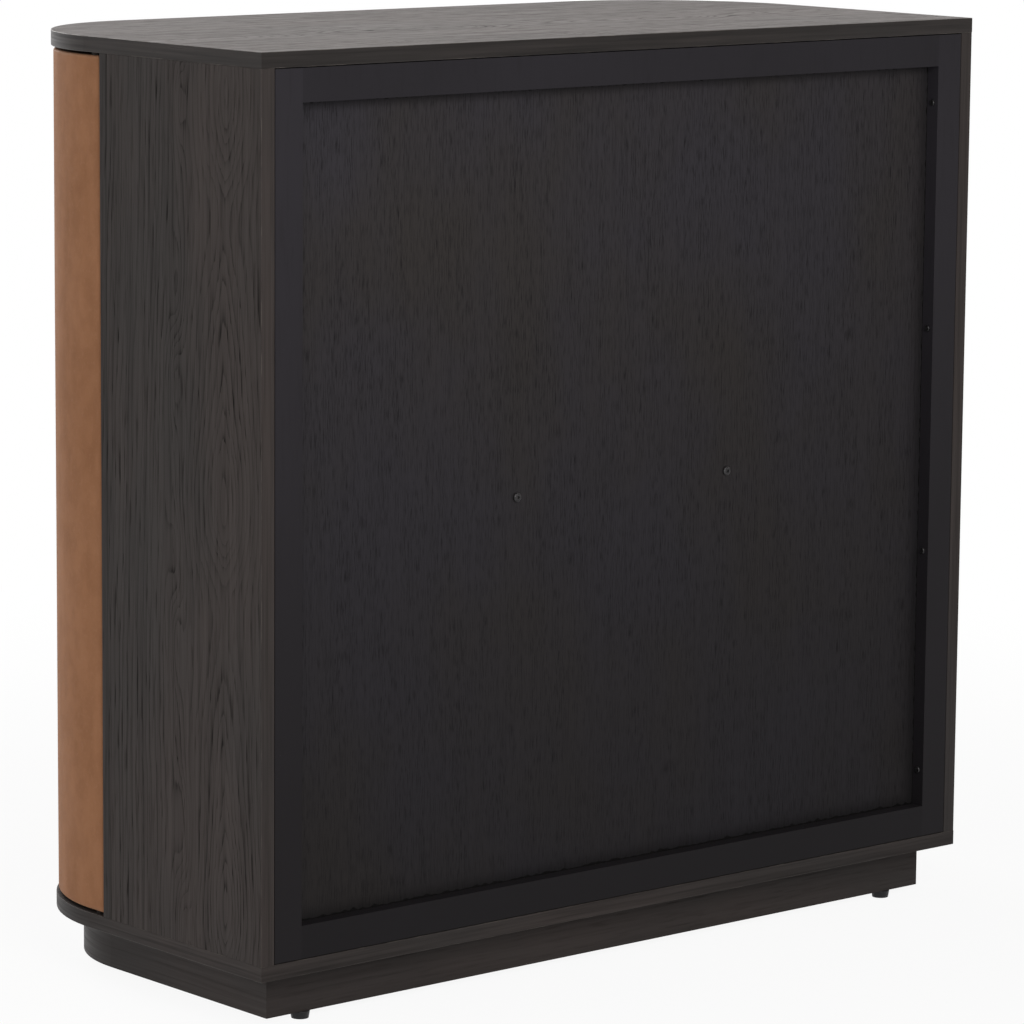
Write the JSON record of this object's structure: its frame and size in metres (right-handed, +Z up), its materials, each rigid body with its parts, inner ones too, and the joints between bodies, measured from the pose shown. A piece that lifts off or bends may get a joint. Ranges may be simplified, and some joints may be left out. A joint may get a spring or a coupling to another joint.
{
  "type": "apothecary cabinet",
  "caption": "Rounded-front oak cabinet on a recessed plinth, with small drawers between two quarter-round leather doors and an open framed back.",
  "frame": {"origin": "on the floor, under the middle of the cabinet's bounding box (knobs included)", "axes": "+Z up; the drawers and doors face -Y; the open framed back faces +Y; +X is the right-hand side seen from the front; X is the width"},
  "size_m": [1.1, 0.55, 1.1],
  "materials": {
    "stained_oak": "satin",
    "black_paint": "satin",
    "black_veneer": "matte",
    "drawer_wood": "satin",
    "door_lining": "satin",
    "tan_leather": "satin",
    "bronze": "aged satin",
    "black_plastic": "matte",
    "black_steel": "black oxide"
  },
  "bodies": {
    "case": {"top_slab": "stained_oak", "bottom_slab": "stained_oak", "side_panel_left": "stained_oak", "side_panel_right": "stained_oak", "frame_stiles": "black_paint", "frame_rails": "black_paint", "back_panel": "black_veneer", "middle_shelf": "stained_oak", "partition_left": "stained_oak", "partition_right": "stained_oak", "drawer_webs": "stained_oak", "column_dividers": "stained_oak", "corner_shelves": "stained_oak", "plinth": "stained_oak", "glides": "black_plastic", "screws": "black_steel"},
    "door_left": {"door_left_core": "door_lining", "door_left_leather": "tan_leather", "door_left_pivots": "bronze", "door_left_knob": "bronze"},
    "door_right": {"door_right_core": "door_lining", "door_right_leather": "tan_leather", "door_right_pivots": "bronze", "door_right_knob": "bronze"},
    "drawer_a1": {"drawer_a1_box": "drawer_wood", "drawer_a1_front": "stained_oak", "drawer_a1_knob": "bronze"},
    "drawer_a2": {"drawer_a2_box": "drawer_wood", "drawer_a2_front": "stained_oak", "drawer_a2_knob": "bronze"},
    "drawer_a3": {"drawer_a3_box": "drawer_wood", "drawer_a3_front": "stained_oak", "drawer_a3_knob": "bronze"},
    "drawer_a4": {"drawer_a4_box": "drawer_wood", "drawer_a4_front": "stained_oak", "drawer_a4_knob": "bronze"},
    "drawer_b1": {"drawer_b1_box": "drawer_wood", "drawer_b1_front": "stained_oak", "drawer_b1_knob": "bronze"},
    "drawer_b2": {"drawer_b2_box": "drawer_wood", "drawer_b2_front": "stained_oak", "drawer_b2_knob": "bronze"},
    "drawer_b3": {"drawer_b3_box": "drawer_wood", "drawer_b3_front": "stained_oak", "drawer_b3_knob": "bronze"},
    "drawer_b4": {"drawer_b4_box": "drawer_wood", "drawer_b4_front": "stained_oak", "drawer_b4_knob": "bronze"},
    "drawer_c1": {"drawer_c1_box": "drawer_wood", "drawer_c1_front": "stained_oak", "drawer_c1_knob": "bronze"},
    "drawer_c2": {"drawer_c2_box": "drawer_wood", "drawer_c2_front": "stained_oak", "drawer_c2_knob": "bronze"},
    "drawer_c3": {"drawer_c3_box": "drawer_wood", "drawer_c3_front": "stained_oak", "drawer_c3_knob": "bronze"},
    "drawer_c4": {"drawer_c4_box": "drawer_wood", "drawer_c4_front": "stained_oak", "drawer_c4_knob": "bronze"}
  },
  "joints": [
    {"name": "door_left_hinge", "type": "hinge", "parent": "case", "child": "door_left", "pos_m": [-0.5385, -0.04181, 0.581], "axis": [0, 0, -1], "range_deg": [0, 105]},
    {"name": "door_right_hinge", "type": "hinge", "parent": "case", "child": "door_right", "pos_m": [0.5385, -0.04181, 0.581], "axis": [0, 0, 1], "range_deg": [0, 105]},
    {"name": "drawer_a1_slide", "type": "slide", "parent": "case", "child": "drawer_a1", "axis": [0, -1, 0], "range_m": [0, 0.3]},
    {"name": "drawer_a2_slide", "type": "slide", "parent": "case", "child": "drawer_a2", "axis": [0, -1, 0], "range_m": [0, 0.3]},
    {"name": "drawer_a3_slide", "type": "slide", "parent": "case", "child": "drawer_a3", "axis": [0, -1, 0], "range_m": [0, 0.3]},
    {"name": "drawer_a4_slide", "type": "slide", "parent": "case", "child": "drawer_a4", "axis": [0, -1, 0], "range_m": [0, 0.3]},
    {"name": "drawer_b1_slide", "type": "slide", "parent": "case", "child": "drawer_b1", "axis": [0, -1, 0], "range_m": [0, 0.3]},
    {"name": "drawer_b2_slide", "type": "slide", "parent": "case", "child": "drawer_b2", "axis": [0, -1, 0], "range_m": [0, 0.3]},
    {"name": "drawer_b3_slide", "type": "slide", "parent": "case", "child": "drawer_b3", "axis": [0, -1, 0], "range_m": [0, 0.3]},
    {"name": "drawer_b4_slide", "type": "slide", "parent": "case", "child": "drawer_b4", "axis": [0, -1, 0], "range_m": [0, 0.3]},
    {"name": "drawer_c1_slide", "type": "slide", "parent": "case", "child": "drawer_c1", "axis": [0, -1, 0], "range_m": [0, 0.3]},
    {"name": "drawer_c2_slide", "type": "slide", "parent": "case", "child": "drawer_c2", "axis": [0, -1, 0], "range_m": [0, 0.3]},
    {"name": "drawer_c3_slide", "type": "slide", "parent": "case", "child": "drawer_c3", "axis": [0, -1, 0], "range_m": [0, 0.3]},
    {"name": "drawer_c4_slide", "type": "slide", "parent": "case", "child": "drawer_c4", "axis": [0, -1, 0], "range_m": [0, 0.3]}
  ]
}
